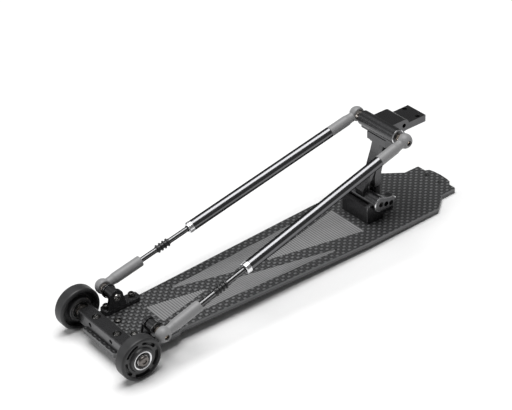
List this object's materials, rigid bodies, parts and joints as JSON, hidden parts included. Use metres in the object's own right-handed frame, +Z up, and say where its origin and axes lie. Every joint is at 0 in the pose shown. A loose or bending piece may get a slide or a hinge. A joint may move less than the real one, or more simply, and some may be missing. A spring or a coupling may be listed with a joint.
{
  "type": "wheelie bar",
  "caption": "Wheelie bar for a radio-controlled drag car: carbon deck, wheels on an axle block, telescopic struts on ball joints and a tilting tower with a mounting flange.",
  "frame": {"origin": "on the floor under the middle of the object's length and width; the wheels stand on Z = 0", "axes": "+X along the deck from the wheels to the tail tab, +Y to the left, +Z up; the deck is level"},
  "size_m": [0.2526, 0.0686, 0.0659],
  "materials": {
    "carbon_plate": "woven carbon laminate under clear resin",
    "window_panel": "light grey panel with fine parallel ribs",
    "black_anodised": "black anodised, satin",
    "tube_anodised": "black anodised, polished",
    "black_steel": "black oxide",
    "bright_steel": "ground and polished",
    "ball_metal": "polished",
    "wheel_plastic": "moulded, semi-gloss black",
    "tyre_rubber": "smooth rubber band",
    "stop_rubber": "soft black rubber",
    "grey_plastic": "moulded grey nylon",
    "bright_aluminium": "machined and polished",
    "white_plastic": "moulded white acetal",
    "dark_seal": "bearing seal"
  },
  "bodies": {
    "deck": {"deck_plate": "carbon_plate", "window_front": "window_panel", "window_rear": "window_panel", "window_left": "window_panel", "window_right": "window_panel", "axle_block": "black_anodised", "axle_block_screws": "black_steel", "deck_screws": "black_steel", "bracket_screws": "black_steel", "stud_nuts": "bright_steel", "hinge_block": "black_anodised", "hinge_block_screws": "black_steel", "pivot_pin": "bright_steel", "heel_bumper": "stop_rubber", "axle_bolt_left": "black_steel", "axle_bolt_right": "black_steel", "wheel_spacer_left": "bright_steel", "wheel_spacer_right": "bright_steel", "bearing_inner_races_left": "bright_steel", "bearing_inner_races_right": "bright_steel", "ball_bracket_left": "black_anodised", "ball_bracket_right": "black_anodised", "lower_ball_stud_left": "ball_metal", "lower_ball_stud_right": "ball_metal", "cheek_plate_left": "black_anodised", "cheek_plate_right": "black_anodised"},
    "wheel_left": {"rim_left": "wheel_plastic", "tyre_left": "tyre_rubber", "bearing_outer_races_left": "bright_steel", "bearing_balls_left": "bright_steel", "bearing_shields_left": "dark_seal"},
    "wheel_right": {"rim_right": "wheel_plastic", "tyre_right": "tyre_rubber", "bearing_outer_races_right": "bright_steel", "bearing_balls_right": "bright_steel", "bearing_shields_right": "dark_seal"},
    "rod_left": {"lower_rod_end_left": "grey_plastic", "strut_rod_left": "bright_steel", "bump_stop_left": "stop_rubber", "rod_guide_left": "white_plastic"},
    "tube_left": {"strut_collar_left": "bright_aluminium", "strut_tube_left": "tube_anodised", "upper_rod_end_left": "grey_plastic"},
    "rod_right": {"lower_rod_end_right": "grey_plastic", "strut_rod_right": "bright_steel", "bump_stop_right": "stop_rubber", "rod_guide_right": "white_plastic"},
    "tube_right": {"strut_collar_right": "bright_aluminium", "strut_tube_right": "tube_anodised", "upper_rod_end_right": "grey_plastic"},
    "tower": {"tower": "black_anodised", "tower_head": "black_anodised", "head_screws": "black_steel", "upper_ball_stud_left": "ball_metal", "upper_ball_stud_right": "ball_metal"}
  },
  "joints": [
    {"name": "wheel_left_spin", "type": "hinge", "parent": "deck", "child": "wheel_left", "pos_m": [-0.1138, 0, 0.0125], "axis": [0, 1, 0], "continuous": true},
    {"name": "wheel_right_spin", "type": "hinge", "parent": "deck", "child": "wheel_right", "pos_m": [-0.1138, 0, 0.0125], "axis": [0, 1, 0], "continuous": true},
    {"name": "tower_tilt", "type": "hinge", "parent": "deck", "child": "tower", "pos_m": [0.0661, 0, 0.0208], "axis": [0, -1, 0], "range_deg": [0, 14]},
    {"name": "strut_pitch_left", "type": "hinge", "parent": "deck", "child": "rod_left", "pos_m": [-0.0972, 0.028, 0.0185], "axis": [0, -0.9952, -0.0978], "range_deg": [0, 1.5]},
    {"name": "strut_slide_left", "type": "slide", "parent": "rod_left", "child": "tube_left", "axis": [-0.9702, 0.0427, -0.2384], "range_m": [0, 0.0095]},
    {"name": "strut_pitch_right", "type": "hinge", "parent": "deck", "child": "rod_right", "pos_m": [-0.0972, -0.028, 0.0185], "axis": [0, -0.9952, 0.0978], "range_deg": [0, 1.5]},
    {"name": "strut_slide_right", "type": "slide", "parent": "rod_right", "child": "tube_right", "axis": [-0.9702, -0.0427, -0.2384], "range_m": [0, 0.0095]}
  ],
  "couplings": [
    {"joint": "strut_pitch_left", "follows": "tower_tilt", "ratio": 0.10025},
    {"joint": "strut_slide_left", "follows": "tower_tilt", "m_per_rad": 0.03838},
    {"joint": "strut_pitch_right", "follows": "tower_tilt", "ratio": 0.10025},
    {"joint": "strut_slide_right", "follows": "tower_tilt", "m_per_rad": 0.03838}
  ]
}
